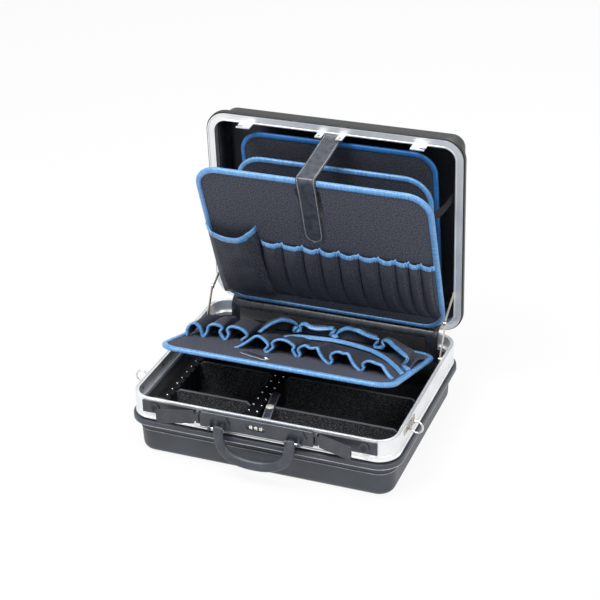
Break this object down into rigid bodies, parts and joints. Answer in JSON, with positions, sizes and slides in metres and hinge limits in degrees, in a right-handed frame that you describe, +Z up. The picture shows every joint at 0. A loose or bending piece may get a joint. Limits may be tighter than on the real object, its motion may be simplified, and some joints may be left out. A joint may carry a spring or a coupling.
{
  "type": "hard tool case",
  "caption": "Open hard tool case: ABS shells in aluminium frames, hinged fold-out tool panels, divided base, folding stays, carrying handle, latches with locks.",
  "frame": {"origin": "centre of the base's underside", "axes": "+Z up, -Y towards the latch side, +X to the right seen from the latch side"},
  "size_m": [0.515, 0.4768, 0.4811],
  "materials": {
    "abs_base": "textured",
    "abs_lid": "textured",
    "frame": "anodised satin",
    "lining": "satin",
    "rail": "satin",
    "white_cap": "gloss",
    "divider": "satin",
    "snap_leather": "grained",
    "console": "satin",
    "chrome": "polished",
    "grip": "satin",
    "number_wheel": "moulded",
    "latch": "satin",
    "steel": "zinc plated",
    "board": "woven with blue piping",
    "pocket": "woven",
    "strap": "webbing",
    "flex": "vinyl"
  },
  "bodies": {
    "base": {"base_shell": "abs_base", "base_frame": "frame", "base_liner": "lining", "divider_rails": "rail", "centre_beam": "rail", "slot_studs": "white_cap", "divider_front_left": "divider", "divider_front_right": "divider", "divider_middle_left": "divider", "divider_middle_right": "divider", "snap_strap": "snap_leather", "snap_button": "white_cap", "console": "console", "handle_brackets": "console", "handle_pins": "chrome", "number_axle": "steel", "latch_plate_left": "latch", "latch_plate_right": "latch", "latch_pins": "steel", "ring_bracket_left": "console", "ring_bracket_right": "console", "frame_rivets": "steel", "base_hinge_leaves": "steel", "hinge_pins": "steel", "hinge_cover": "flex", "base_panel_tab": "flex", "stay_base_pivots": "steel"},
    "lid": {"lid_shell": "abs_lid", "lid_frame": "frame", "lid_liner": "lining", "lid_strikers": "white_cap", "panel_hinge_strips": "flex", "lid_hinge_leaves": "steel", "stay_lid_pivots": "steel"},
    "front_panel_body": {"front_panel": "board", "front_panel_pockets": "pocket", "strap_end": "strap", "strap_span": "strap"},
    "middle_panel_body": {"middle_panel": "board"},
    "rear_panel_body": {"rear_panel": "board"},
    "base_panel_body": {"base_panel": "board", "base_pockets_left": "pocket", "base_pockets_front": "pocket", "base_pockets_back": "pocket"},
    "stay_lower_left": {"stay_lower_left": "steel"},
    "stay_lower_right": {"stay_lower_right": "steel"},
    "stay_upper_left": {"stay_upper_left": "steel"},
    "stay_upper_right": {"stay_upper_right": "steel"},
    "handle": {"handle": "grip"},
    "flap_left": {"latch_flap_left": "latch"},
    "flap_right": {"latch_flap_right": "latch"},
    "bolt_left": {"latch_bolt_left": "steel"},
    "bolt_right": {"latch_bolt_right": "steel"},
    "lock_left": {"lock_cylinder_left": "chrome"},
    "lock_right": {"lock_cylinder_right": "chrome"},
    "wheel_1": {"number_wheel_1": "number_wheel"},
    "wheel_2": {"number_wheel_2": "number_wheel"},
    "wheel_3": {"number_wheel_3": "number_wheel"},
    "ring_left": {"carry_ring_left": "chrome"},
    "ring_right": {"carry_ring_right": "chrome"}
  },
  "joints": [
    {"name": "lid_hinge", "type": "hinge", "parent": "base", "child": "lid", "pos_m": [0, 0.1888, 0.1065], "axis": [1, 0, 0], "range_deg": [0, 88]},
    {"name": "front_panel_fold", "type": "hinge", "parent": "lid", "child": "front_panel_body", "pos_m": [0, 0.17692, 0.1257], "axis": [1, 0, 0], "range_deg": [-29.6, 0], "deforming": ["strap_span"]},
    {"name": "middle_panel_fold", "type": "hinge", "parent": "lid", "child": "middle_panel_body", "pos_m": [0, 0.2181, 0.13724], "axis": [1, 0, 0], "range_deg": [-13.8, 0]},
    {"name": "rear_panel_fold", "type": "hinge", "parent": "lid", "child": "rear_panel_body", "pos_m": [0, 0.24779, 0.13778], "axis": [1, 0, 0], "range_deg": [-8.9, 0]},
    {"name": "base_panel_fold", "type": "hinge", "parent": "base", "child": "base_panel_body", "pos_m": [-0.002, 0.147, 0.0849], "axis": [1, 0, 0], "range_deg": [0, 20.6]},
    {"name": "stay_lower_left_turn", "type": "hinge", "parent": "base", "child": "stay_lower_left", "pos_m": [-0.2194, 0.112, 0.102], "axis": [1, 0, 0], "range_deg": [0, 121.5]},
    {"name": "stay_upper_left_turn", "type": "hinge", "parent": "lid", "child": "stay_upper_left", "pos_m": [-0.2177, 0.19603, 0.186], "axis": [1, 0, 0], "range_deg": [-100.6, 0]},
    {"name": "stay_lower_right_turn", "type": "hinge", "parent": "base", "child": "stay_lower_right", "pos_m": [0.2194, 0.112, 0.102], "axis": [1, 0, 0], "range_deg": [0, 121.5]},
    {"name": "stay_upper_right_turn", "type": "hinge", "parent": "lid", "child": "stay_upper_right", "pos_m": [0.2177, 0.19603, 0.186], "axis": [1, 0, 0], "range_deg": [-100.6, 0]},
    {"name": "handle_swing", "type": "hinge", "parent": "base", "child": "handle", "pos_m": [0, -0.2, 0.09], "axis": [-1, 0, 0], "range_deg": [0, 90]},
    {"name": "flap_left_turn", "type": "hinge", "parent": "base", "child": "flap_left", "pos_m": [-0.104, -0.1875, 0.098], "axis": [0, 0, -1], "range_deg": [0, 17]},
    {"name": "bolt_left_slide", "type": "slide", "parent": "base", "child": "bolt_left", "axis": [1, 0, 0], "range_m": [0, 0.0081]},
    {"name": "flap_right_turn", "type": "hinge", "parent": "base", "child": "flap_right", "pos_m": [0.104, -0.1875, 0.098], "axis": [0, 0, 1], "range_deg": [0, 17]},
    {"name": "bolt_right_slide", "type": "slide", "parent": "base", "child": "bolt_right", "axis": [-1, 0, 0], "range_m": [0, 0.0081]},
    {"name": "lock_left_turn", "type": "hinge", "parent": "base", "child": "lock_left", "pos_m": [-0.1835, -0.186, 0.098], "axis": [0, 1, 0], "range_deg": [0, 90]},
    {"name": "lock_right_turn", "type": "hinge", "parent": "base", "child": "lock_right", "pos_m": [0.1835, -0.186, 0.098], "axis": [0, 1, 0], "range_deg": [0, 90]},
    {"name": "wheel_1_turn", "type": "hinge", "parent": "base", "child": "wheel_1", "pos_m": [-0.00875, -0.187, 0.098], "axis": [1, 0, 0], "continuous": true},
    {"name": "wheel_2_turn", "type": "hinge", "parent": "base", "child": "wheel_2", "pos_m": [0, -0.187, 0.098], "axis": [1, 0, 0], "continuous": true},
    {"name": "wheel_3_turn", "type": "hinge", "parent": "base", "child": "wheel_3", "pos_m": [0.00875, -0.187, 0.098], "axis": [1, 0, 0], "continuous": true},
    {"name": "ring_left_swing", "type": "hinge", "parent": "base", "child": "ring_left", "pos_m": [-0.2374, -0.104, 0.1025], "axis": [0, 1, 0], "range_deg": [0, 30]},
    {"name": "ring_right_swing", "type": "hinge", "parent": "base", "child": "ring_right", "pos_m": [0.2374, -0.104, 0.1025], "axis": [0, -1, 0], "range_deg": [0, 30]}
  ],
  "couplings": [
    {"joint": "front_panel_fold", "follows": "lid_hinge", "ratio": -0.33523},
    {"joint": "middle_panel_fold", "follows": "lid_hinge", "ratio": -0.15568},
    {"joint": "rear_panel_fold", "follows": "lid_hinge", "ratio": -0.097727},
    {"joint": "base_panel_fold", "follows": "lid_hinge", "ratio": 0.23295},
    {"joint": "stay_lower_left_turn", "follows": "lid_hinge", "ratio": 1.3739},
    {"joint": "stay_upper_left_turn", "follows": "lid_hinge", "ratio": -1.1375},
    {"joint": "bolt_left_slide", "follows": "flap_left_turn", "m_per_rad": 0.026963},
    {"joint": "stay_lower_right_turn", "follows": "lid_hinge", "ratio": 1.3739},
    {"joint": "stay_upper_right_turn", "follows": "lid_hinge", "ratio": -1.1375},
    {"joint": "bolt_right_slide", "follows": "flap_right_turn", "m_per_rad": 0.026963}
  ]
}
